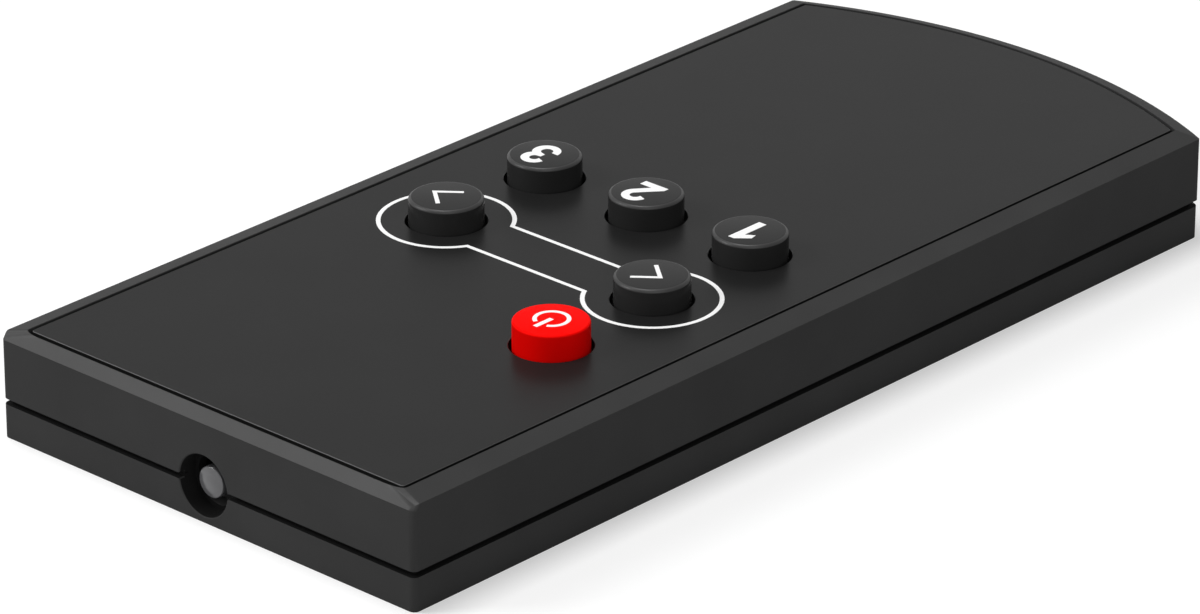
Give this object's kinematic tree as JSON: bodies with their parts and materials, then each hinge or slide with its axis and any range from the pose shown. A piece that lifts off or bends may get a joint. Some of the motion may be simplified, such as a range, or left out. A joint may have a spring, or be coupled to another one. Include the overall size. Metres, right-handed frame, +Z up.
{
  "type": "infrared remote control",
  "caption": "Slim handheld infrared remote: chamfered two-part case, inlaid face plate, round sprung keys, end emitter and a pull-out coin-cell drawer.",
  "frame": {"origin": "under the middle of the case, on the plane that it rests on", "axes": "+Z up through the keys, +Y along the case from the emitter end to the rounded user end, +X towards the power key's side"},
  "size_m": [0.04, 0.088, 0.0103],
  "materials": {
    "case_plastic": "fine moulded texture, dark grey",
    "plate_plastic": "smooth matt dark grey",
    "key_plastic": "smooth matt dark grey",
    "power_key_plastic": "smooth matt red",
    "adhesive": "thin double-sided adhesive",
    "silicone": "grey silicone rubber",
    "carbon": "conductive carbon rubber",
    "board_laminate": "green solder mask on laminate",
    "carbon_ink": "printed carbon ink",
    "emitter_resin": "clear epoxy",
    "tinned_wire": "tinned wire and legs",
    "chip_epoxy": "moulded black epoxy",
    "resonator_ceramic": "pale ceramic",
    "capacitor_body": "moulded orange case",
    "spring_steel": "nickel-plated spring steel",
    "cell_steel": "bright drawn steel",
    "cell_seal_plastic": "black nylon ring",
    "cell_contents": "pressed cathode and lithium"
  },
  "bodies": {
    "case": {"bottom_shell": "case_plastic", "top_shell": "case_plastic", "face_plate": "plate_plastic", "plate_adhesive": "adhesive", "keypad_mat": "silicone", "circuit_board": "board_laminate", "contact_pads": "carbon_ink", "ir_emitter": "emitter_resin", "emitter_leads": "tinned_wire", "encoder_chip": "chip_epoxy", "encoder_leads": "tinned_wire", "ceramic_resonator": "resonator_ceramic", "reservoir_capacitor": "capacitor_body", "driver_transistor": "chip_epoxy", "chip_resistors": "chip_epoxy", "negative_contact": "spring_steel", "positive_contact": "spring_steel", "power_dome": "silicone", "previous_dome": "silicone", "next_dome": "silicone", "one_dome": "silicone", "two_dome": "silicone", "three_dome": "silicone"},
    "battery_drawer": {"battery_drawer": "case_plastic", "cell_can": "cell_steel", "cell_core": "cell_contents", "cell_seal": "cell_seal_plastic", "cell_cap": "cell_steel"},
    "power_key": {"power_key": "power_key_plastic", "power_pill": "carbon"},
    "previous_key": {"previous_key": "key_plastic", "previous_pill": "carbon"},
    "next_key": {"next_key": "key_plastic", "next_pill": "carbon"},
    "one_key": {"one_key": "key_plastic", "one_pill": "carbon"},
    "two_key": {"two_key": "key_plastic", "two_pill": "carbon"},
    "three_key": {"three_key": "key_plastic", "three_pill": "carbon"}
  },
  "joints": [
    {"name": "power_press", "type": "slide", "parent": "case", "child": "power_key", "axis": [0, 0, -1], "range_m": [0, 0.0007], "stiffness_N_per_m": 1600, "deforming": ["power_dome"]},
    {"name": "previous_press", "type": "slide", "parent": "case", "child": "previous_key", "axis": [0, 0, -1], "range_m": [0, 0.0007], "stiffness_N_per_m": 1600, "deforming": ["previous_dome"]},
    {"name": "next_press", "type": "slide", "parent": "case", "child": "next_key", "axis": [0, 0, -1], "range_m": [0, 0.0007], "stiffness_N_per_m": 1600, "deforming": ["next_dome"]},
    {"name": "one_press", "type": "slide", "parent": "case", "child": "one_key", "axis": [0, 0, -1], "range_m": [0, 0.0007], "stiffness_N_per_m": 1600, "deforming": ["one_dome"]},
    {"name": "two_press", "type": "slide", "parent": "case", "child": "two_key", "axis": [0, 0, -1], "range_m": [0, 0.0007], "stiffness_N_per_m": 1600, "deforming": ["two_dome"]},
    {"name": "three_press", "type": "slide", "parent": "case", "child": "three_key", "axis": [0, 0, -1], "range_m": [0, 0.0007], "stiffness_N_per_m": 1600, "deforming": ["three_dome"]},
    {"name": "drawer_slide", "type": "slide", "parent": "case", "child": "battery_drawer", "axis": [0, 1, 0], "range_m": [0, 0.0222]}
  ]
}
